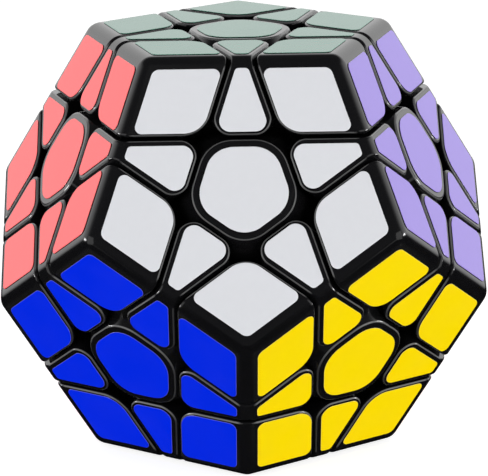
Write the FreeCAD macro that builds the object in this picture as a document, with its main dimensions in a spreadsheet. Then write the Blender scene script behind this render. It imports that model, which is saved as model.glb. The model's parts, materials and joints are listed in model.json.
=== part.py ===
"""Twelve-colour dodecahedron twisty puzzle, standing on one face, in millimetres.

The puzzle is built about its own centre and lifted at the end, so that it stands on
Z = 0 with +Z up and the white face towards -Y.  Twelve layers turn about the twelve
face axes.  Every layer is a solid of revolution about its axis, at three depths:
  shell level: everything beyond the plane at cut_height from the centre;
  neck level:  inside the cone of neck_angle, from step_radius out to that plane;
  foot level:  inside the cone of foot_angle, from bowl_radius out to step_radius.
A piece is what lies in its own layers and outside all the others, so any layer turns
past the rest.  Centres hold the feet of the edges and edges hold the feet of the
corners, because the foot cone is wider than the neck cone.
"""

import FreeCAD, Part
import math
import os

import Sketcher
from FreeCAD import Placement, Rotation, Vector

SIZES = [
    # (alias, value, what it is)
    ("half_height", 38.5, "centre to the outside of a face sticker"),
    ("sticker_thick", 0.15, "thickness of a sticker"),
    ("cut_height", 25.1, "centre to the plane that cuts a layer off"),
    ("gap", 0.5, "clearance between two pieces"),
    ("fit", 0.05, "clearance between two glued or clipped parts of one piece"),
    ("neck_angle", 41.0, "half angle of the neck cone of a layer"),
    ("foot_angle", 50.0, "half angle of the foot cone of a layer"),
    ("step_radius", 26.5, "sphere between the foot level and the neck level"),
    ("bowl_radius", 20.5, "sphere inside which only the core lies"),
    ("outer_round", 3.0, "rounding along the edges of the dodecahedron"),
    ("rim_round", 0.5, "rounding around the top of every tile"),
    ("centre_round", 6.9, "rounding of the corners of a centre tile"),
    ("edge_round", 2.4, "rounding of the inner corners of an edge tile"),
    ("corner_round", 6.1, "rounding of the inner corner of a corner tile"),
    ("wall", 1.4, "wall of the hollow tiles"),
    ("cone_start", 2.0, "centre to the small end of a layer's cone"),
    ("cone_reach", 60.0, "centre to the large end of a layer's cone"),
    ("blank_radius", 22.0, "radius of the rod that a neck or foot is cut from"),
    ("hub_bottom", 20.5, "centre to the underside of a hub stalk"),
    ("hub_flare", 23.5, "centre to the lowest point of a hub's flare"),
    ("hub_top", 36.3, "centre to the seam between hub and cap"),
    ("hub_floor", 27.6, "centre to the floor of the hub's cup"),
    ("hub_cup", 8.3, "radius of the hub's cup"),
    ("stalk_radius", 4.5, "radius of the hub stalk"),
    ("spring_bore", 3.0, "radius of the bore that holds the spring"),
    ("spring_seat", 22.0, "centre to the seat under the spring"),
    ("shaft_bore", 1.6, "radius of the hole that the screw passes through"),
    ("skirt_wall", 1.1, "wall of the cap's skirt"),
    ("skirt_depth", 3.0, "depth of the cap's skirt below the seam"),
    ("edge_split", 34.2, "centre to the seam between edge shell and foot"),
    ("corner_split", 36.0, "centre to the seam between corner shell and foot"),
    ("edge_shoulder_low", 32.0, "centre to the underside of an edge foot's shoulder"),
    ("edge_shoulder_wide", 7.6, "width of that shoulder"),
    ("edge_shoulder_long", 15.0, "length of that shoulder"),
    ("edge_tenon_wide", 6.8, "width of the tenon on an edge foot"),
    ("edge_tenon_long", 9.6, "length of the tenon on an edge foot"),
    ("edge_tenon_top", 35.7, "centre to the end of that tenon"),
    ("edge_core_wide", 5.0, "width of the hollow in an edge foot"),
    ("edge_core_long", 7.8, "length of that hollow"),
    ("edge_core_bottom", 27.6, "centre to the bottom of that hollow"),
    ("edge_well", 4.0, "width and length of the well below that hollow"),
    ("edge_well_bottom", 22.4, "centre to the bottom of the well"),
    ("corner_tenon", 2.35, "radius of the tenon on a corner foot"),
    ("corner_tenon_top", 39.5, "centre to the end of that tenon"),
    ("corner_lean", 37.3773681, "angle between a corner's axis and its faces, degrees"),
    ("corner_head_start", 0.8, "height at which the head of a corner foot begins"),
    ("core_ball", 10.0, "radius of the ball of the core"),
    ("core_arm", 3.6, "radius of a core arm"),
    ("core_reach", 20.2, "centre to the end of a core arm"),
    ("pilot_radius", 1.35, "radius of the screw hole in a core arm"),
    ("pilot_bottom", 10.5, "centre to the bottom of that hole"),
    ("screw_radius", 1.3, "radius of the screw shaft"),
    ("screw_tip", 11.0, "centre to the tip of the screw"),
    ("head_seat", 28.9, "centre to the underside of the screw head"),
    ("head_radius", 2.7, "radius of the screw head"),
    ("head_thick", 1.8, "thickness of the screw head"),
    ("slot_radius", 1.2, "radius of the recess in the screw head"),
    ("slot_depth", 1.0, "depth of that recess"),
    ("washer_thick", 0.5, "thickness of the washer under the head"),
    ("washer_outer", 2.8, "outer radius of the washer"),
    ("washer_inner", 1.45, "inner radius of the washer"),
    ("coil_radius", 2.3, "radius of the spring to the middle of its wire"),
    ("wire_radius", 0.25, "radius of the spring wire"),
    ("coil_turns", 6, "turns of the spring"),
    ("sticker_rim", 0.1, "rounding around the top of a sticker"),
    ("centre_sticker", 7.4, "face centre to a side of the centre sticker"),
    ("centre_sticker_round", 5.0, "rounding of the centre sticker"),
    ("edge_sticker_in", 10.1, "face centre to the inner side of an edge sticker"),
    ("edge_sticker_out", 21.65, "face centre to the outer side of an edge sticker"),
    ("edge_sticker_side", 7.77, "face centre to the slanted sides, measured square"),
    ("edge_sticker_in_round", 1.95, "rounding of its inner corners"),
    ("edge_sticker_out_round", 0.8, "rounding of its outer corners"),
    ("corner_sticker_in", 9.9, "face centre to the inner sides of a corner sticker"),
    ("corner_sticker_out", 21.55, "face centre to the outer sides of a corner sticker"),
    ("corner_sticker_in_round", 4.5, "rounding of its inner corner"),
    ("corner_sticker_side_round", 1.2, "rounding of its two side corners"),
    ("corner_sticker_out_round", 1.5, "rounding of its outer corner"),
]

ORIGIN = Vector(0, 0, 0)
UP = Vector(0, 0, 1)
# angle between the normals of two neighbouring faces
TILT = math.degrees(math.atan(2.0))
TINY = 1e-6

# colour of each face: (azimuth from the front, elevation), both in degrees
RING = 90.0 - TILT
FACES = {
    "white": (0, RING),
    "red": (-72, RING),
    "purple": (72, RING),
    "cream": (-144, RING),
    "light_blue": (144, RING),
    "blue": (-36, -RING),
    "yellow": (36, -RING),
    "pink": (-108, -RING),
    "orange": (108, -RING),
    "grey": (180, -RING),
    "dark_green": (0, 90),
    "light_green": (0, -90),
}
# three layers that share no piece, so that all three can turn at once
LIVE = ["white", "cream", "orange"]


# ---------------------------------------------------------------- document and sheet

doc = FreeCAD.newDocument("puzzle")
sheet = doc.addObject("Spreadsheet::Sheet", "Sizes")
for row, (alias, value, note) in enumerate(SIZES, start=1):
    sheet.set(f"A{row}", alias)
    sheet.set(f"B{row}", str(value))
    sheet.set(f"C{row}", note)
    sheet.setAlias(f"B{row}", alias)
doc.recompute()


def size(alias):
    """The number in one cell of the sheet."""
    return float(getattr(sheet, alias))


FACE = size("half_height") - size("sticker_thick")
CUT_OUT = size("cut_height") + size("gap") / 2
CUT_IN = size("cut_height") - size("gap") / 2


# ---------------------------------------------------------------- directions

def direction(azimuth, elevation):
    """Unit vector; azimuth 0 points to -Y and grows towards +X."""
    a = math.radians(azimuth)
    e = math.radians(elevation)
    return Vector(math.sin(a) * math.cos(e), -math.cos(a) * math.cos(e), math.sin(e))


def neighbour(index):
    """Normal of the face next to +Z, counted anticlockwise from +X."""
    a = math.radians(72 * index)
    t = math.radians(TILT)
    return Vector(math.sin(t) * math.cos(a), math.sin(t) * math.sin(a), math.cos(t))


NORMAL = {colour: direction(*angles) for colour, angles in FACES.items()}


def neighbours(colour):
    """Colours of the five faces around one face, anticlockwise seen from outside."""
    n = NORMAL[colour]
    close = [c for c in FACES if abs(NORMAL[c].dot(n) - math.cos(math.radians(TILT))) < 0.01]
    first = (NORMAL[close[0]] - n * NORMAL[close[0]].dot(n)).normalize()
    second = n.cross(first)
    return sorted(close, key=lambda c: math.atan2(NORMAL[c].dot(second), NORMAL[c].dot(first)))


def face_turn(colour, toward):
    """Placement that carries +Z to one face and the +X neighbour to another."""
    n = NORMAL[colour]
    x = (NORMAL[toward] - n * NORMAL[toward].dot(n)).normalize()
    return Placement(ORIGIN, Rotation(x, n.cross(x), n, "ZXY"))


# ---------------------------------------------------------------- shape helpers

def convex_solid(planes):
    """Solid bounded by planes (normal, distance); normals point outwards."""
    corners = []
    for i, (n1, d1) in enumerate(planes):
        for j, (n2, d2) in enumerate(planes[:i]):
            for n3, d3 in planes[:j]:
                det = n1.dot(n2.cross(n3))
                if abs(det) < TINY:
                    continue
                p = (n2.cross(n3) * d1 + n3.cross(n1) * d2 + n1.cross(n2) * d3) * (1 / det)
                inside = all(n.dot(p) <= d + TINY for n, d in planes)
                if inside and all((p - q).Length > TINY for q in corners):
                    corners.append(p)
    sides = []
    for n, d in planes:
        loop = [p for p in corners if abs(n.dot(p) - d) < TINY]
        middle = sum(loop, Vector()) * (1 / len(loop))
        x = (loop[0] - middle).normalize()
        y = n.cross(x)
        loop.sort(key=lambda p: math.atan2((p - middle).dot(y), (p - middle).dot(x)))
        sides.append(Part.Face(Part.makePolygon(loop + loop[:1])))
    solid = Part.Solid(Part.Shell(sides))
    if solid.Volume < 0:
        solid.reverse()
    return solid


def edges_between(shape, first, second):
    """Straight edges that lie in two given planes."""
    found = []
    for edge in shape.Edges:
        ends = [v.Point for v in edge.Vertexes]
        if all(abs(n.dot(p) - d) < 1e-4 for n, d in (first, second) for p in ends):
            found.append(edge)
    return found


def is_skin(face, outward):
    """True for a face on the outside of the puzzle, flat or rounded."""
    surface = face.Surface
    if isinstance(surface, Part.Plane):
        return any(abs(n.dot(face.CenterOfMass) - FACE) < 1e-4 for n in outward)
    return abs(getattr(surface, "Radius", 0) - size("outer_round")) < 1e-4


def round_rim(shape, outward):
    """Round the edges where the outside of the puzzle meets the side walls."""
    rim = []
    for edge in shape.Edges:
        pair = shape.ancestorsOfType(edge, Part.Face)
        if len(pair) == 2 and is_skin(pair[0], outward) != is_skin(pair[1], outward):
            rim.append(edge)
    return shape.makeFillet(size("rim_round"), rim)


def make_solid(name, shape):
    """Block bounded by slanted planes, with roundings that meet at its corners."""
    feature = doc.addObject("Part::Feature", name)
    feature.Shape = shape
    return feature


# ---------------------------------------------------------------- primitives and booleans

def place(item, turn, terms):
    """Turn an object and hold its base at the sum of (vector, formula) terms."""
    item.Placement = Placement(ORIGIN, turn)
    for letter in "xyz":
        parts = [f"({formula}) * ({getattr(v, letter):.12f})" for v, formula in terms]
        item.setExpression(f"Placement.Base.{letter}", " + ".join(parts))


def primitive(kind, name, **formulas):
    """Part primitive whose sizes follow formulas over the sheet."""
    item = doc.addObject(f"Part::{kind}", name)
    for name_of_size, formula in formulas.items():
        item.setExpression(name_of_size, formula)
    return item


def ball(name, radius):
    """Sphere about the centre of the puzzle."""
    return primitive("Sphere", name, Radius=radius)


def rod(name, axis, low, high, radius):
    """Cylinder about an axis through the centre, between two distances."""
    item = primitive("Cylinder", name, Radius=radius, Height=f"({high}) - ({low})")
    place(item, Rotation(UP, axis), [(axis, low)])
    return item


def cone(name, axis, low, high, low_radius, high_radius):
    """Cut cone about an axis through the centre, between two distances."""
    item = primitive("Cone", name, Radius1=low_radius, Radius2=high_radius,
                     Height=f"({high}) - ({low})")
    place(item, Rotation(UP, axis), [(axis, low)])
    return item


def layer_cone(name, normal, angle, offset):
    """Cone of a layer about its face axis, grown (+) or shrunk (-) square to its side."""
    low = "Sizes.cone_start"
    high = "Sizes.cone_reach"
    radii = [f"{end} * tan({angle}) + ({offset}) / cos({angle})" for end in (low, high)]
    return cone(name, normal, low, high, *radii)


def chain(kind, base, tools):
    """Cut an object by several others, or keep what it shares with them, one by one."""
    for tool in tools:
        step = doc.addObject(f"Part::{kind}", f"{tool.Name}_{kind.lower()}")
        step.Base = base
        step.Tool = tool
        base = step
    base.Refine = True
    return base


def fuse(name, shapes):
    """One solid out of several that touch or overlap."""
    joined = doc.addObject("Part::MultiFuse", name)
    joined.Shapes = shapes
    joined.Refine = True
    return joined


def level(name, inside, outside, angle_in, angle_out, low, high):
    """What lies in some layer cones and outside others, between two spheres."""
    axis = sum(inside, Vector()).normalize()
    blank = rod(f"{name}_blank", axis, f"0.7 * ({low})", high, "Sizes.blank_radius")
    own = [layer_cone(f"{name}_own_{i}", n, angle_in, "-Sizes.gap / 2")
           for i, n in enumerate(inside)]
    other = [layer_cone(f"{name}_other_{i}", n, angle_out, "Sizes.gap / 2")
             for i, n in enumerate(outside)]
    body = chain("Cut", chain("Common", blank, own), other)
    body = chain("Common", body, [ball(f"{name}_over", high)])
    return chain("Cut", body, [ball(f"{name}_under", low)])


# ---------------------------------------------------------------- pieces made of cells

STEP_IN = "Sizes.step_radius - Sizes.gap / 2"
STEP_OUT = "Sizes.step_radius + Sizes.gap / 2"
BOWL = "Sizes.bowl_radius + Sizes.gap / 2"
NECK = "Sizes.neck_angle"
FOOT = "Sizes.foot_angle"
# sphere on which the neck cone meets the plane of the cut
CORNER_OF_CUT = "Sizes.cut_height / cos(Sizes.neck_angle) - Sizes.gap / 2"
AROUND = [neighbour(i) for i in range(5)]


def five_sided(low, high):
    """Tapering five-sided block of a centre piece, with rounded corners."""
    walls = [(n, CUT_IN) for n in AROUND]
    block = convex_solid(walls + [(UP, high), (-UP, -low)])
    uprights = [e for i in range(5) for e in edges_between(block, walls[i], walls[i - 1])]
    return block.makeFillet(size("centre_round"), uprights)


def make_hub():
    """Centre piece without its cap: five-sided cup on a flared, bored stalk."""
    block = make_solid("hub_block", five_sided(size("hub_flare"), size("hub_top")))
    tracks = [layer_cone(f"hub_track_{i}", n, NECK, "Sizes.gap / 2")
              for i, n in enumerate(AROUND)]
    cup = chain("Cut", block, tracks + [ball("hub_under", STEP_OUT)])
    stalk = rod("hub_stalk", UP, "Sizes.hub_bottom", "Sizes.hub_floor", "Sizes.stalk_radius")
    top = "Sizes.hub_top + 1"
    return chain("Cut", fuse("hub_solid", [cup, stalk]), [
        rod("hub_cup", UP, "Sizes.hub_floor", top, "Sizes.hub_cup"),
        rod("hub_spring_bore", UP, "Sizes.spring_seat", top, "Sizes.spring_bore"),
        rod("hub_shaft_bore", UP, "Sizes.hub_bottom - 1", top, "Sizes.shaft_bore"),
    ])


def make_cap():
    """Lid over the cup of a hub, with a round skirt that clips inside the cup."""
    plate = make_solid("cap_plate", round_rim(five_sided(size("hub_top"), FACE), [UP]))
    low = "Sizes.hub_top - Sizes.skirt_depth"
    outer = "Sizes.hub_cup - Sizes.fit"
    skirt = rod("cap_skirt", UP, low, "Sizes.hub_top + 0.5", outer)
    bore = rod("cap_bore", UP, f"{low} - 1", "Sizes.hub_top", f"{outer} - Sizes.skirt_wall")
    return chain("Cut", fuse("cap_solid", [plate, skirt]), [bore])


def edge_frame():
    """Axis of the edge piece between +Z and its +X neighbour, and the way across."""
    axis = (UP + AROUND[0]).normalize()
    across = (UP - AROUND[0]).normalize()
    return axis, across


def edge_block(name, wide, long, low, high):
    """Block across an edge piece, between two distances along its axis."""
    axis, across = edge_frame()
    lengthwise = axis.cross(across)
    block = primitive("Box", name, Length=wide, Width=long, Height=f"({high}) - ({low})")
    place(block, Rotation(across, lengthwise, axis, "ZXY"),
          [(axis, low), (across, f"-{wide} / 2"), (lengthwise, f"-{long} / 2")])
    return block


def make_edge_shell():
    """Hollow two-sided tile, open at its inner ridge for the foot's tenon."""
    axis, across = edge_frame()
    faces = [(UP, FACE), (AROUND[0], FACE)]
    inner = [(-UP, -CUT_OUT), (-AROUND[0], -CUT_OUT)]
    ends = [(AROUND[1], CUT_IN), (AROUND[4], CUT_IN)]
    tile = convex_solid(faces + inner + ends + [(-axis, -size("edge_split"))])
    tile = tile.makeFillet(size("outer_round"), edges_between(tile, *faces))
    uprights = [e for a in inner for b in ends for e in edges_between(tile, a, b)]
    tile = tile.makeFillet(size("edge_round"), uprights)
    tile = round_rim(tile, [UP, AROUND[0]])
    cavity = convex_solid([(n, d - size("wall")) for n, d in faces + inner + ends])
    return chain("Cut", make_solid("edge_tile", tile), [make_solid("edge_cavity", cavity)])


def make_edge_foot():
    """Neck and foot of an edge piece, with the tenon that holds the shell."""
    own = [UP, AROUND[0]]
    ends = [AROUND[1], AROUND[4]]
    seam = "Sizes.edge_split - Sizes.fit"
    solid = fuse("edge_foot_solid", [
        level("edge_base", own, ends, FOOT, FOOT, BOWL, STEP_IN),
        level("edge_join", own, ends, NECK, FOOT, f"{STEP_IN} - 0.5", f"{STEP_OUT} + 0.5"),
        level("edge_neck", own, ends, NECK, NECK, STEP_OUT, CORNER_OF_CUT),
        edge_block("edge_shoulder", "Sizes.edge_shoulder_wide", "Sizes.edge_shoulder_long",
                   "Sizes.edge_shoulder_low", seam),
        edge_block("edge_tenon", "Sizes.edge_tenon_wide", "Sizes.edge_tenon_long",
                   f"{seam} - 1", "Sizes.edge_tenon_top"),
    ])
    hollow = edge_block("edge_core", "Sizes.edge_core_wide", "Sizes.edge_core_long",
                        "Sizes.edge_core_bottom", "Sizes.edge_tenon_top + 1")
    well = edge_block("edge_well_block", "Sizes.edge_well", "Sizes.edge_well",
                      "Sizes.edge_well_bottom", "Sizes.edge_core_bottom + 1")
    return chain("Cut", solid, [hollow, well])


def corner_axis():
    """Axis of the corner piece between +Z and its first two neighbours."""
    return (UP + AROUND[0] + AROUND[1]).normalize()


def make_corner_shell():
    """Hollow three-sided tile with a round socket for the foot's tenon."""
    axis = corner_axis()
    own = [UP, AROUND[0], AROUND[1]]
    faces = [(n, FACE) for n in own]
    inner = [(-n, -CUT_OUT) for n in own]
    tile = convex_solid(faces + inner + [(-axis, -size("corner_split"))])
    ridges = [e for i in range(3) for e in edges_between(tile, faces[i], faces[i - 1])]
    tile = tile.makeFillet(size("outer_round"), ridges)
    uprights = [e for i in range(3) for e in edges_between(tile, inner[i], inner[i - 1])]
    tile = tile.makeFillet(size("corner_round"), uprights)
    tile = round_rim(tile, own)
    cavity = convex_solid([(n, d - size("wall")) for n, d in faces + inner])
    socket = rod("corner_socket", axis, "Sizes.corner_split - 1",
                 "Sizes.corner_tenon_top + Sizes.fit", "Sizes.corner_tenon + Sizes.fit")
    return chain("Cut", make_solid("corner_tile", tile),
                 [make_solid("corner_cavity", cavity), socket])


def make_corner_foot():
    """Three-pointed foot, thin neck and conical head of a corner piece."""
    axis = corner_axis()
    own = [UP, AROUND[0], AROUND[1]]
    tip = "(Sizes.cut_height + Sizes.gap / 2) / cos(Sizes.corner_lean)"
    low = f"{tip} + Sizes.corner_head_start"
    top = "Sizes.corner_split - Sizes.fit"
    return fuse("corner_foot_solid", [
        level("corner_base", own, [], FOOT, FOOT, BOWL, STEP_IN),
        level("corner_neck", own, [], NECK, NECK, f"{STEP_IN} - 0.5", CORNER_OF_CUT),
        cone("corner_head", axis, low, top, "Sizes.corner_head_start / tan(Sizes.corner_lean)",
             f"({top} - {tip}) / tan(Sizes.corner_lean)"),
        rod("corner_tenon", axis, f"{top} - 1", "Sizes.corner_tenon_top", "Sizes.corner_tenon"),
    ])


# ---------------------------------------------------------------- sketched pieces

def origin_plane(body, role):
    """One of the body's own origin planes."""
    return next(f for f in body.Origin.OriginFeatures if f.Role == role)


def new_sketch(body, name, role="XY_Plane", lift=None):
    """Sketch on an origin plane, lifted by a formula along the plane's normal."""
    sketch = body.newObject("Sketcher::SketchObject", name)
    sketch.AttachmentSupport = [(origin_plane(body, role), "")]
    sketch.MapMode = "FlatFace"
    if lift:
        sketch.setExpression("AttachmentOffset.Base.z", lift)
    return sketch


def tie(sketch, constraint, formula):
    """Add a constraint whose value follows a formula over the sheet."""
    index = sketch.addConstraint(constraint)
    sketch.setExpression(f"Constraints[{index}]", formula)


def draw_sides(sketch, sides):
    """Convex polygon from (direction in degrees, formula of distance from origin)."""
    lines = [(math.radians(a), value(sketch, formula)) for a, formula in sides]
    corners = []
    for (a1, d1), (a2, d2) in zip(lines, lines[1:] + lines[:1]):
        det = math.sin(a2 - a1)
        x = (d1 * math.sin(a2) - d2 * math.sin(a1)) / det
        y = (d2 * math.cos(a1) - d1 * math.cos(a2)) / det
        corners.append(Vector(x, y, 0))
    count = len(corners)
    for i in range(count):
        sketch.addGeometry(Part.LineSegment(corners[i - 1], corners[i]), False)
    for i in range(count):
        sketch.addConstraint(Sketcher.Constraint("Coincident", i, 2, (i + 1) % count, 1))
    for i in range(count):
        run = corners[i] - corners[i - 1]
        slant = math.atan2(run.y, run.x)
        sketch.addConstraint(Sketcher.Constraint("Angle", i, slant))
        reach = Sketcher.Constraint("Distance", -1, 1, i, abs(lines[i][1]))
        tie(sketch, reach, f"abs({sides[i][1]})")
    return corners


def draw_profile(sketch, points):
    """Closed half section; each point is a pair of formulas, or None on the axis."""
    numbers = [(value(sketch, x) if x else 0.0, value(sketch, y)) for x, y in points]
    count = len(points)
    for i in range(count):
        start = Vector(*numbers[i], 0)
        end = Vector(*numbers[(i + 1) % count], 0)
        sketch.addGeometry(Part.LineSegment(start, end), False)
    for i in range(count):
        sketch.addConstraint(Sketcher.Constraint("Coincident", i, 2, (i + 1) % count, 1))
    for i, (x, y) in enumerate(points):
        if x:
            tie(sketch, Sketcher.Constraint("DistanceX", -1, 1, i, 1, numbers[i][0]), x)
        else:
            sketch.addConstraint(Sketcher.Constraint("PointOnObject", i, 1, -2))
        tie(sketch, Sketcher.Constraint("DistanceY", -1, 1, i, 1, numbers[i][1]), y)


def draw_circles(sketch, radii):
    """Circles about the sketch's origin; each radius is a formula."""
    for i, formula in enumerate(radii):
        radius = value(sketch, formula)
        sketch.addGeometry(Part.Circle(ORIGIN, UP, radius), False)
        sketch.addConstraint(Sketcher.Constraint("Coincident", i, 3, -1, 1))
        tie(sketch, Sketcher.Constraint("Radius", i, radius), formula)


def value(owner, formula):
    """Number that a formula over the sheet gives."""
    return float(owner.evalExpression(formula))


def pad(body, sketch, length):
    """Pad a sketch by a formula."""
    feature = body.newObject("PartDesign::Pad", f"{sketch.Name}_pad")
    feature.Profile = sketch
    feature.setExpression("Length", length)
    doc.recompute()
    return feature


def round_edges(body, base, keep, radius):
    """Fillet the edges of a feature that pass a test, by a formula."""
    names = [f"Edge{i}" for i, e in enumerate(base.Shape.Edges, start=1) if keep(e)]
    feature = body.newObject("PartDesign::Fillet", f"{base.Name}_round")
    feature.Base = (base, names)
    feature.setExpression("Radius", radius)
    doc.recompute()
    return feature


def rising(edge):
    """True for an edge that runs up the side of a tile."""
    first, last = [v.Point for v in edge.Vertexes[:2]] if len(edge.Vertexes) > 1 else (UP, UP)
    return abs(first.z - last.z) > 0.01


def near(corners):
    """Test for rising edges that stand at any of the given corners."""
    def test(edge):
        spot = edge.CenterOfMass
        return rising(edge) and any(math.hypot(spot.x - c.x, spot.y - c.y) < 0.5 for c in corners)
    return test


def around_top(edge):
    """True for an edge in the outer plane of a sticker."""
    return all(abs(v.Point.z - size("half_height")) < 1e-4 for v in edge.Vertexes)


def make_screw():
    """Screw with a pointed tip and a six-sided recess in its head."""
    body = doc.addObject("PartDesign::Body", "screw")
    outline = new_sketch(body, "screw_outline", "XZ_Plane")
    top = "Sizes.head_seat + Sizes.head_thick"
    draw_profile(outline, [
        (None, "Sizes.screw_tip"),
        ("Sizes.screw_radius", "Sizes.screw_tip + Sizes.screw_radius"),
        ("Sizes.screw_radius", "Sizes.head_seat"),
        ("Sizes.head_radius", "Sizes.head_seat"),
        ("Sizes.head_radius", f"{top} - 0.5"),
        ("Sizes.head_radius - 0.5", top),
        (None, top),
    ])
    turned = body.newObject("PartDesign::Revolution", "screw_turned")
    turned.Profile = outline
    turned.ReferenceAxis = (outline, ["V_Axis"])
    turned.Angle = 360
    doc.recompute()
    recess = new_sketch(body, "screw_recess", lift=top)
    draw_sides(recess, [(60 * i, "Sizes.slot_radius") for i in range(6)])
    cut = body.newObject("PartDesign::Pocket", "screw_recess_cut")
    cut.Profile = recess
    cut.setExpression("Length", "Sizes.slot_depth")
    doc.recompute()
    if cut.Shape.Volume > turned.Shape.Volume - 1:
        raise RuntimeError("the recess in the screw head cut nothing")
    return body


def make_washer():
    """Flat ring between the spring and the screw head."""
    body = doc.addObject("PartDesign::Body", "washer")
    ring = new_sketch(body, "washer_ring", lift="Sizes.head_seat - Sizes.washer_thick")
    draw_circles(ring, ["Sizes.washer_outer", "Sizes.washer_inner"])
    pad(body, ring, "Sizes.washer_thick")
    return body


def make_spring():
    """Open coil spring between its seat in the hub and the washer."""
    body = doc.addObject("PartDesign::Body", "spring")
    wire = new_sketch(body, "spring_wire", "XZ_Plane")
    reach = value(wire, "Sizes.coil_radius")
    low = value(wire, "Sizes.spring_seat + Sizes.wire_radius")
    wire.addGeometry(Part.Circle(Vector(reach, low, 0), UP, size("wire_radius")), False)
    tie(wire, Sketcher.Constraint("Radius", 0, size("wire_radius")), "Sizes.wire_radius")
    tie(wire, Sketcher.Constraint("DistanceX", -1, 1, 0, 3, reach), "Sizes.coil_radius")
    tie(wire, Sketcher.Constraint("DistanceY", -1, 1, 0, 3, low),
        "Sizes.spring_seat + Sizes.wire_radius")
    doc.recompute()
    coil = body.newObject("PartDesign::AdditiveHelix", "spring_coil")
    coil.Profile = wire
    coil.ReferenceAxis = (wire, ["V_Axis"])
    coil.Mode = "height-turns-angle"
    coil.setExpression("Turns", "Sizes.coil_turns")
    coil.setExpression("Height", "Sizes.head_seat - Sizes.washer_thick"
                       " - Sizes.spring_seat - 2 * Sizes.wire_radius - Sizes.fit")
    doc.recompute()
    return body


def make_sticker(name, sides, rounds):
    """Thin tile on the face plane; rounds are (corner numbers, radius formula)."""
    body = doc.addObject("PartDesign::Body", name)
    outline = new_sketch(body, f"{name}_outline", lift="Sizes.half_height - Sizes.sticker_thick")
    corners = draw_sides(outline, sides)
    feature = pad(body, outline, "Sizes.sticker_thick")
    for picked, radius in rounds:
        test = near([corners[i] for i in picked])
        feature = round_edges(body, feature, test, radius)
    round_edges(body, feature, around_top, "Sizes.sticker_rim")
    return body


def make_core():
    """Ball with twelve arms, each drilled for a screw."""
    arms = []
    holes = []
    for colour, n in NORMAL.items():
        arms.append(rod(f"core_arm_{colour}", n, "0", "Sizes.core_reach", "Sizes.core_arm"))
        holes.append(rod(f"core_hole_{colour}", n, "Sizes.pilot_bottom",
                         "Sizes.core_reach + 1", "Sizes.pilot_radius"))
    star = fuse("core_star", [ball("core_ball_body", "Sizes.core_ball")] + arms)
    drills = doc.addObject("Part::Compound", "core_drills")
    drills.Links = holes
    return chain("Cut", star, [drills])


PIECES = {
    "core": make_core(),
    "screw": make_screw(),
    "washer": make_washer(),
    "spring": make_spring(),
    "cap": make_cap(),
    "hub": make_hub(),
    "edge_shell": make_edge_shell(),
    "edge_foot": make_edge_foot(),
    "corner_shell": make_corner_shell(),
    "corner_foot": make_corner_foot(),
    "centre_sticker": make_sticker(
        "sticker_centre",
        [(72 * i, "Sizes.centre_sticker") for i in range(5)],
        [(range(5), "Sizes.centre_sticker_round")],
    ),
    "edge_sticker": make_sticker(
        "sticker_edge",
        [
            (0, "Sizes.edge_sticker_out"),
            (72, "Sizes.edge_sticker_side"),
            (180, "-Sizes.edge_sticker_in"),
            (288, "Sizes.edge_sticker_side"),
        ],
        [
            ([1, 2], "Sizes.edge_sticker_in_round"),
            ([0, 3], "Sizes.edge_sticker_out_round"),
        ],
    ),
    "corner_sticker": make_sticker(
        "sticker_corner",
        [
            (0, "Sizes.corner_sticker_out"),
            (72, "Sizes.corner_sticker_out"),
            (180, "-Sizes.corner_sticker_in"),
            (252, "-Sizes.corner_sticker_in"),
        ],
        [
            ([0], "Sizes.corner_sticker_out_round"),
            ([1, 3], "Sizes.corner_sticker_side_round"),
            ([2], "Sizes.corner_sticker_in_round"),
        ],
    ),
}


# ---------------------------------------------------------------- assembly

def owner_of(*colours):
    """Live layer that a piece with these faces belongs to, or None for the rest."""
    return next((c for c in LIVE if c in colours), None)


def node_name(owner, plain, live):
    """File name of a group in the rest of the puzzle or in one live layer."""
    return f"{owner}_{live}" if owner else plain


groups = {}


def add(name, piece, placement):
    """Put one more copy of a piece into a named group."""
    groups.setdefault(name, []).append((PIECES[piece], placement))


add("core", "core", Placement())
for colour in FACES:
    ring = neighbours(colour)
    live = owner_of(colour)
    turn = face_turn(colour, ring[0])
    add("tension_screws", "screw", turn)
    add("spring_washers", "washer", turn)
    add("tension_springs", "spring", turn)
    add(node_name(live, "centre_hubs", "hub"), "hub", turn)
    add(node_name(live, "centre_caps", "cap"), "cap", turn)
    add(node_name(live, f"stickers_{colour}", "centre_sticker"), "centre_sticker", turn)
    for other, third in zip(ring, ring[1:] + ring[:1]):
        turn = face_turn(colour, other)
        live = owner_of(colour, other)
        stuck = f"stickers_{colour}"
        add(node_name(live, stuck, f"layer_{stuck}"), "edge_sticker", turn)
        if FACES[colour] < FACES[other]:
            add(node_name(live, "edge_shells", "layer_edge_shells"), "edge_shell", turn)
            add(node_name(live, "edge_feet", "layer_edge_feet"), "edge_foot", turn)
        live = owner_of(colour, other, third)
        add(node_name(live, stuck, f"layer_{stuck}"), "corner_sticker", turn)
        if FACES[colour] < min(FACES[other], FACES[third]):
            add(node_name(live, "corner_shells", "layer_corner_shells"), "corner_shell", turn)
            add(node_name(live, "corner_feet", "layer_corner_feet"), "corner_foot", turn)

nodes = []
for name, copies in groups.items():
    links = []
    for index, (piece, placement) in enumerate(copies):
        link = doc.addObject("App::Link", f"{name}_{index}")
        link.LinkedObject = piece
        link.Placement = placement
        links.append(link)
    node = doc.addObject("Part::Compound", f"node_{name}")
    node.Label = name
    node.Links = links
    node.Placement = Placement(Vector(0, 0, size("half_height")), Rotation())
    node.setExpression("Placement.Base.z", "Sizes.half_height")
    nodes.append(node)
doc.recompute()


# ---------------------------------------------------------------- checks and files

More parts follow.
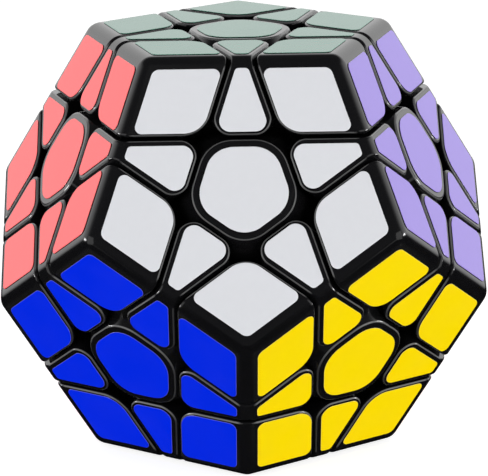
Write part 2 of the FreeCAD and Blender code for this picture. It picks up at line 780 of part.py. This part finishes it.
for item in doc.Objects:
    if "Invalid" in item.State or "Error" in item.State:
        raise RuntimeError(f"{item.Name} is {item.State}")
for node in nodes:
    shape = node.Shape
    if shape.isNull() or not shape.isValid():
        raise RuntimeError(f"{node.Label} has no valid shape")
    if len(shape.Solids) != len(groups[node.Label]):
        raise RuntimeError(f"{node.Label} holds {len(shape.Solids)} solids")

os.makedirs("parts", exist_ok=True)
for node in nodes:
    node.Shape.exportStep(f"parts/{node.Label}.step")
    print(f"{node.Label}: {len(node.Shape.Solids)} solids, {node.Shape.Volume:.0f} mm3")
print(len(nodes), "nodes")
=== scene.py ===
import json
import math

import bmesh
import bpy
from mathutils import Matrix, Vector


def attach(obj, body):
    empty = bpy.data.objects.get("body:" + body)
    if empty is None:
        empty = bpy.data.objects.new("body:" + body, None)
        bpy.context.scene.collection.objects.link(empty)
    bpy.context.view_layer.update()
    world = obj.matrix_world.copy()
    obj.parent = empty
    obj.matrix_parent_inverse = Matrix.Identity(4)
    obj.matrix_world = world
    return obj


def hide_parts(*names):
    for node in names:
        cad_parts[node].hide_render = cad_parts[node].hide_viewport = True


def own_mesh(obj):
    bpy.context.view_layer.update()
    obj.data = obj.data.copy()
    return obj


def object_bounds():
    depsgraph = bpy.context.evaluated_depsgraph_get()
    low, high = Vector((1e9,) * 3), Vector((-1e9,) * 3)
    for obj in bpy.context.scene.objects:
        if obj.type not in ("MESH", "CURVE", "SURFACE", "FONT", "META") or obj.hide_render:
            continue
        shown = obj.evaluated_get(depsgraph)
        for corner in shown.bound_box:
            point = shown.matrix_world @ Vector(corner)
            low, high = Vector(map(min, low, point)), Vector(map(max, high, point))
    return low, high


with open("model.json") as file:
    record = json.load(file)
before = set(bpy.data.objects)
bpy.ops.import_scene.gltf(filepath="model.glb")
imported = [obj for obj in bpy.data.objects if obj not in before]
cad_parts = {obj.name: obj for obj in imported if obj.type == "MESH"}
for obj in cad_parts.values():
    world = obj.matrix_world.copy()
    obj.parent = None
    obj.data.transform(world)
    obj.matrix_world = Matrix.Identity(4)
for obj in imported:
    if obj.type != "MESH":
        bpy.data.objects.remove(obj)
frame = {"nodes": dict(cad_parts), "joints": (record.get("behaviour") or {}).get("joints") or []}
CAD_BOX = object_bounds()

# Lengths are in metres, angles in degrees, and colours are linear red, green and blue.

CENTRE = (CAD_BOX[0] + CAD_BOX[1]) / 2
UP = Vector((0, 0, 1))


def direction(azimuth, elevation):
    """A direction from the middle of the puzzle. Azimuth 0 is the camera's side."""
    turned = math.radians(azimuth)
    raised = math.radians(elevation)
    return Vector((math.sin(turned) * math.cos(raised),
                   -math.cos(turned) * math.cos(raised),
                   math.sin(raised)))


# ---------------------------------------------------------------- node helpers

class Nodes:
    """Short calls for making and joining the shader nodes of one tree.

    A value given to a call is a plain number, vector or colour, or the output of another node.
    """

    def __init__(self, tree):
        self.tree = tree

    def feed(self, node, values):
        """Set each named input of a node, or join it where the value is another node's output."""
        for name, value in values.items():
            socket = node.inputs[name]
            if isinstance(value, bpy.types.NodeSocket):
                self.tree.links.new(value, socket)
            elif socket.type == "RGBA":
                socket.default_value = (*value, 1.0)
            else:
                socket.default_value = value

    def add(self, kind, values, **settings):
        node = self.tree.nodes.new("ShaderNode" + kind)
        for key, setting in settings.items():
            setattr(node, key, setting)
        self.feed(node, values)
        return node

    def coordinates(self, kind):
        return self.add("TexCoord", {}).outputs[kind]

    def noise(self, scale, detail=2.0, roughness=0.5):
        values = {"Vector": self.coordinates("Object"), "Scale": scale, "Detail": detail,
                  "Roughness": roughness}
        return self.add("TexNoise", values).outputs["Fac"]

    def ramp(self, value, over=(0.3, 0.7), to=(0.0, 1.0)):
        """Carry a value from one range to another, held at both ends. Most noise is within 0.3 to 0.7."""
        values = {"Value": value, "From Min": over[0], "From Max": over[1],
                  "To Min": to[0], "To Max": to[1]}
        return self.add("MapRange", values).outputs["Result"]

    def calculate(self, operation, *numbers):
        return self.add("Math", dict(enumerate(numbers)), operation=operation).outputs["Value"]

    def along(self, vector, direction):
        """How far a vector reaches along a fixed direction."""
        node = self.add("VectorMath", {0: vector, 1: direction}, operation="DOT_PRODUCT")
        return node.outputs["Value"]

    def blend(self, share, first, second):
        values = {"Factor": share, "A": first, "B": second}
        return self.add("Mix", values, data_type="RGBA").outputs["Result"]

    def bump(self, height, strength, distance, under=None):
        values = {"Height": height, "Strength": strength, "Distance": distance}
        if under is not None:
            values["Normal"] = under
        return self.add("Bump", values).outputs["Normal"]


def grey(level):
    return (level, level, level)


def new_material(name):
    made = bpy.data.materials.new(name)
    made.use_nodes = True
    return made, Nodes(made.node_tree), made.node_tree.nodes["Principled BSDF"]


# --------------------------------------------------------------- black plastic

# Six axes give the twelve faces: one upright, and five that go out twice as far as they rise.
LEANING_FACES = 5
LEANING_ELEVATION = math.degrees(math.atan(1 / 2))
FACE_AXES = [UP] + [direction(360 * k / LEANING_FACES, LEANING_ELEVATION) for k in range(LEANING_FACES)]
STICKER_THICKNESS = 0.00015
TILE_HEIGHT = (CAD_BOX[1].z - CAD_BOX[0].z) / 2 - STICKER_THICKNESS

# The painted highlight along the rims comes in and goes out over these depths below the flat of a tile.
RIM_HIGHLIGHT_STARTS = (0.00003, 0.00007)
RIM_HIGHLIGHT_ENDS = (0.00022, 0.00030)
# It goes out this far from the next face too, so the wide outer edges of the puzzle stay plain.
OUTER_EDGE = (TILE_HEIGHT - 0.0020, TILE_HEIGHT - 0.0014)
# Rims that face down get a fainter painted highlight: the upward part of the normal, and the share of the
# highlight there.
RIM_HIGHLIGHT_TILT = (-0.42, 0.05)
RIM_HIGHLIGHT_SHARE = (0.25, 1.0)
# A pale grey painted along the rims as a highlight, brightest where they face up.
RIM_HIGHLIGHT_TONE = grey(0.13)

PLASTIC_IOR = 1.5
# The span of pointiness over which an edge looks rubbed, and how far the flow marks break up the painted
# rim highlight.
RUBBED_EDGE = (0.52, 0.62)
RIM_HIGHLIGHT_BREAKS = (0.75, 1.0)


def rim_highlight_mask(nodes):
    """Where the painted highlight goes: 1 on the small roundings along the gaps, less where they face
    down, and 0 elsewhere.
    """
    position = nodes.coordinates("Object")
    own_face, next_face = 0.0, 0.0
    for axis in FACE_AXES:
        reach = nodes.calculate("SUBTRACT", nodes.along(position, axis), CENTRE.dot(axis))
        height = nodes.calculate("ABSOLUTE", reach)
        next_face = nodes.calculate("MAXIMUM", next_face, nodes.calculate("MINIMUM", own_face, height))
        own_face = nodes.calculate("MAXIMUM", own_face, height)
    depth = nodes.calculate("SUBTRACT", TILE_HEIGHT, own_face)
    mask = nodes.ramp(depth, over=RIM_HIGHLIGHT_STARTS)
    for limit in (
        nodes.ramp(depth, over=RIM_HIGHLIGHT_ENDS, to=(1.0, 0.0)),
        nodes.ramp(next_face, over=OUTER_EDGE, to=(1.0, 0.0)),
        nodes.ramp(nodes.along(nodes.coordinates("Normal"), UP), over=RIM_HIGHLIGHT_TILT, to=RIM_HIGHLIGHT_SHARE),
    ):
        mask = nodes.calculate("MULTIPLY", mask, limit)
    return mask


def moulded(name, colour, worn, roughness, peel, painted_rim_highlight=None):
    """Moulded black plastic: faint flow marks, a fine skin, edges rubbed a little brighter, and painted
    highlight lines on the rims when a highlight tone is given.
    """
    made, nodes, shader = new_material(name)
    flow = nodes.noise(scale=90.0, detail=3.0)
    rubbed = nodes.ramp(nodes.add("NewGeometry", {}).outputs["Pointiness"], over=RUBBED_EDGE)
    base = nodes.blend(nodes.calculate("MULTIPLY", rubbed, flow), colour, worn)
    if painted_rim_highlight is not None:
        # Painted highlight along the small rims at the gaps, broken up by the flow marks.
        share = nodes.calculate("MULTIPLY", rim_highlight_mask(nodes), nodes.ramp(flow, to=RIM_HIGHLIGHT_BREAKS))
        base = nodes.blend(share, base, painted_rim_highlight)
    skin = nodes.bump(nodes.noise(scale=2600.0), strength=peel, distance=0.00002)
    wave = nodes.bump(nodes.noise(scale=240.0, detail=1.0), strength=peel, distance=0.00006, under=skin)
    nodes.feed(shader, {
        "IOR": PLASTIC_IOR,
        "Base Color": base,
        "Roughness": nodes.ramp(flow, to=roughness),
        "Normal": wave,
    })
    return made


# -------------------------------------------------------------------- stickers

STICKER_COLOURS = {
    "white": (0.72, 0.73, 0.76),
    "red": (0.84, 0.035, 0.040),
    "purple": (0.210, 0.132, 0.57),
    "cream": (0.86, 0.80, 0.52),
    "light_blue": (0.18, 0.55, 0.85),
    "blue": (0.0, 0.017, 0.61),
    "yellow": (0.77, 0.575, 0.0),
    "pink": (0.90, 0.28, 0.45),
    "orange": (0.95, 0.28, 0.01),
    "grey": (0.22, 0.23, 0.25),
    "dark_green": (0.01, 0.29, 0.17),
    "light_green": (0.30, 0.75, 0.08),
}
MOTTLE = 0.02
# A pale tone painted on the rounded rim of each sticker as a highlight.
STICKER_RIM_HIGHLIGHT = grey(0.90)
STICKER_RIM_HIGHLIGHT_SHARE = 0.12
# Near-black sides: partly a dark film base, partly painted shade at the sticker's edge.
STICKER_SIDE_AND_SHADE = grey(0.010)
# How squarely a surface faces out: where the painted highlight on the rounded rim shows, and where the
# dark side does.
CUT_RIM = (0.80, 0.99)
SIDE_WALL = (0.30, 0.65)


def vinyl(name, colour, outward):
    """Printed vinyl under a clear gloss film: mottle, orange peel, a painted highlight on the rounded rim,
    and dark sides that are partly a dark film base and partly painted shade.
    """
    made, nodes, shader = new_material(name)
    deep = tuple((1 - MOTTLE) * part for part in colour)
    pale = tuple(min(1.0, (1 + MOTTLE) * part) for part in colour)
    film = nodes.blend(nodes.noise(scale=700.0, detail=4.0, roughness=0.6), deep, pale)
    facing = nodes.along(nodes.coordinates("Normal"), outward)
    # Painted highlight on the rounded rim.
    film = nodes.blend(nodes.ramp(facing, over=CUT_RIM, to=(STICKER_RIM_HIGHLIGHT_SHARE, 0.0)), film, STICKER_RIM_HIGHLIGHT)
    # Dark sides, partly painted shade.
    film = nodes.blend(nodes.ramp(facing, over=SIDE_WALL, to=(1.0, 0.0)), film, STICKER_SIDE_AND_SHADE)
    peel = nodes.bump(nodes.noise(scale=1900.0, detail=1.0), strength=0.03, distance=0.00002)
    wave = nodes.bump(nodes.noise(scale=130.0, detail=1.0), strength=0.06, distance=0.00008, under=peel)
    nodes.feed(shader, {
        "IOR": PLASTIC_IOR,
        "Base Color": film,
        "Roughness": nodes.ramp(nodes.noise(scale=160.0), to=(0.08, 0.15)),
        "Normal": wave,
    })
    return made


def outward_normal(mesh):
    """The normal of the largest part of a sticker that faces away from the middle of the puzzle."""
    def outward_area(polygon):
        return polygon.area * polygon.normal.dot((polygon.center - CENTRE).normalized())
    return max(mesh.polygons, key=outward_area).normal.copy()


# ----------------------------------------------------------------------- metal

def metal(name, colour, grain):
    """Drawn or turned steel with fine lines and a patchy sheen."""
    made, nodes, shader = new_material(name)
    patches = nodes.noise(scale=grain, detail=6.0, roughness=0.7)
    lines = nodes.noise(scale=grain, detail=3.0)
    nodes.feed(shader, {
        "Metallic": 1.0,
        "Base Color": colour,
        "Roughness": nodes.ramp(patches, to=(0.22, 0.38)),
        "Normal": nodes.bump(lines, strength=0.15, distance=0.00002),
    })
    return made


# ---------------------------------------------------------- materials in slots

slot_materials = {
    "shell_plastic": moulded(
        "shell_plastic", colour=(0.0035, 0.0035, 0.004), worn=grey(0.012),
        roughness=(0.09, 0.15), peel=0.05, painted_rim_highlight=RIM_HIGHLIGHT_TONE),
    "inner_plastic": moulded(
        "inner_plastic", colour=(0.012, 0.012, 0.013), worn=(0.025, 0.025, 0.026),
        roughness=(0.32, 0.44), peel=0.20),
    "steel": metal("steel", colour=(0.55, 0.55, 0.56), grain=900.0),
    "spring_steel": metal("spring_steel", colour=(0.45, 0.45, 0.47), grain=1500.0),
}

for cad_object in frame["nodes"].values():
    for material_slot in cad_object.material_slots:
        slot_name = material_slot.material.name.split(".")[0]
        if slot_name not in slot_materials:
            sticker_colour = STICKER_COLOURS[slot_name.removeprefix("sticker_")]
            slot_materials[slot_name] = vinyl(slot_name, sticker_colour, outward_normal(cad_object.data))
        material_slot.material = slot_materials[slot_name]


# --------------------------------------------------------------------- springs

SPRING_NODE = "tension_springs"
# The least cosine between a float's axis and the direction to any part of its own spring.
NEAR_AXIS = 0.95


def some_springs(name, wanted):
    """A copy of the springs that keeps only those whose direction from the middle is wanted."""
    mesh = frame["nodes"][SPRING_NODE].data.copy()
    shape = bmesh.new()
    shape.from_mesh(mesh)
    spare = [face for face in shape.faces
             if not wanted((face.calc_center_median() - CENTRE).normalized())]
    bmesh.ops.delete(shape, geom=spare, context="FACES")
    shape.to_mesh(mesh)
    shape.free()
    piece = bpy.data.objects.new(name, mesh)
    bpy.context.scene.collection.objects.link(piece)
    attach(piece, "puzzle")
    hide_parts(SPRING_NODE)
    return piece


def make_springs():
    """Nine springs stay together in one copy. The other three, one for each centre that floats outwards,
    each get a copy of their own.
    """
    floats = [(joint, Vector(joint["axis"]).normalized())
              for joint in frame["joints"] if joint["type"] == "slide"]
    some_springs("fixed_springs", lambda way: all(way.dot(axis) < NEAR_AXIS for _, axis in floats))
    for joint, axis in floats:
        name = joint["name"].replace("centre_float", "spring")
        spring = some_springs(name, lambda way: way.dot(axis) > NEAR_AXIS)
        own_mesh(spring)


make_springs()


# ----------------------------------------------------------------------- floor

FLOOR_RADIUS = 12.0
FLOOR_CORNERS = 96
FLOOR_GAP = 0.00002
FLOOR_GLOW = 0.80
FLOOR_TONES = (grey(0.60), grey(0.62))


def make_floor():
    """A plain pale card that glows a little, so that it stays white round the puzzle."""
    mesh = bpy.data.meshes.new("floor")
    angles = [k * math.tau / FLOOR_CORNERS for k in range(FLOOR_CORNERS)]
    ring = [(FLOOR_RADIUS * math.cos(angle), FLOOR_RADIUS * math.sin(angle), 0.0) for angle in angles]
    mesh.from_pydata(ring, [], [tuple(range(FLOOR_CORNERS))])
    floor = bpy.data.objects.new("floor", mesh)
    bpy.context.scene.collection.objects.link(floor)
    floor.location.z = CAD_BOX[0].z - FLOOR_GAP
    floor.visible_glossy = False
    made, nodes, shader = new_material("floor_card")
    nodes.feed(shader, {
        "Base Color": nodes.blend(nodes.noise(scale=4.0), *FLOOR_TONES),
        "Roughness": 0.9,
        "Emission Color": grey(1.0),
        "Emission Strength": FLOOR_GLOW,
    })
    mesh.materials.append(made)


make_floor()


# ---------------------------------------------------------------------- lights

LIGHT_DISTANCE = 1.3


def softbox(name, azimuth, elevation, width, height, power, glossy):
    """A soft rectangular light aimed at the puzzle."""
    out = direction(azimuth, elevation)
    lamp = bpy.data.lights.new(name, "AREA")
    lamp.shape = "RECTANGLE"
    lamp.size = width
    lamp.size_y = height
    lamp.energy = power
    holder = bpy.data.objects.new(name, lamp)
    holder.location = CENTRE + LIGHT_DISTANCE * out
    holder.rotation_euler = (-out).to_track_quat("-Z", "Y").to_euler()
    holder.visible_glossy = glossy
    bpy.context.scene.collection.objects.link(holder)


def softbox_pair(name, azimuth, **values):
    softbox(name + "_left", -azimuth, **values)
    softbox(name + "_right", azimuth, **values)


# The keys light the colours and aren't reflected. The weak sheens and the low strips are what gloss shows.
softbox_pair("key", 50, elevation=10, width=0.8, height=0.9, power=8.4, glossy=False)
softbox_pair("sheen", 56, elevation=8, width=1.0, height=1.0, power=3.0, glossy=True)
softbox_pair("strip", 98, elevation=2.5, width=0.45, height=0.16, power=4.0, glossy=True)


# ---------------------------------------------------------------- surroundings

WORLD_WHITE = grey(1.32)
WORLD_DIM = (0.10, 0.10, 0.105)
BLACK = grey(0.0)
# The tones change over these spans of a direction's parts: Y is away from the camera, and Z is up.
WHITE_BEHIND = (-0.25, 0.15)
WHITE_BOTTOM = (-0.12, -0.02)
WHITE_TOP = (0.40, 0.70)
DIM_BOTTOM = (-0.10, 0.0)


def make_world():
    """White surroundings low behind the puzzle, dim before it and above it, black below the floor."""
    world = bpy.data.worlds.new("studio")
    world.use_nodes = True
    bpy.context.scene.world = world
    nodes = Nodes(world.node_tree)
    way = nodes.add("SeparateXYZ", {"Vector": nodes.coordinates("Generated")}).outputs
    white = nodes.ramp(way["Y"], over=WHITE_BEHIND)
    for limit in (
        nodes.ramp(way["Z"], over=WHITE_BOTTOM),
        nodes.ramp(way["Z"], over=WHITE_TOP, to=(1.0, 0.0)),
    ):
        white = nodes.calculate("MULTIPLY", white, limit)
    dim = nodes.blend(nodes.ramp(way["Z"], over=DIM_BOTTOM), BLACK, WORLD_DIM)
    background = world.node_tree.nodes["Background"]
    nodes.feed(background, {"Color": nodes.blend(white, dim, WORLD_WHITE)})


make_world()


# ---------------------------------------------------------------------- camera

# The photo's viewpoint, found from the outlines of the stickers: its place from the middle of the puzzle,
# then a turn about the upright, a tilt of the view and a roll about the view.
CAMERA_PLACE = Vector((-0.00701, -0.58099, 0.15880))
CAMERA_TURN = -0.722
CAMERA_TILT = -15.413
CAMERA_ROLL = -0.735
SENSOR_WIDTH_MM = 36.0
FOCAL_LENGTH_MM = 237.96


def make_camera():
    data = bpy.data.cameras.new("camera")
    data.sensor_fit = "HORIZONTAL"
    data.sensor_width = SENSOR_WIDTH_MM
    data.lens = FOCAL_LENGTH_MM
    camera = bpy.data.objects.new("camera", data)
    view = Matrix.Translation(CENTRE + CAMERA_PLACE)
    for angle, axis in ((CAMERA_TURN, "Z"), (90 + CAMERA_TILT, "X"), (CAMERA_ROLL, "Z")):
        view = view @ Matrix.Rotation(math.radians(angle), 4, axis)
    camera.matrix_world = view
    bpy.context.scene.collection.objects.link(camera)
    bpy.context.scene.camera = camera


make_camera()
bpy.context.scene.view_settings.view_transform = "Standard"
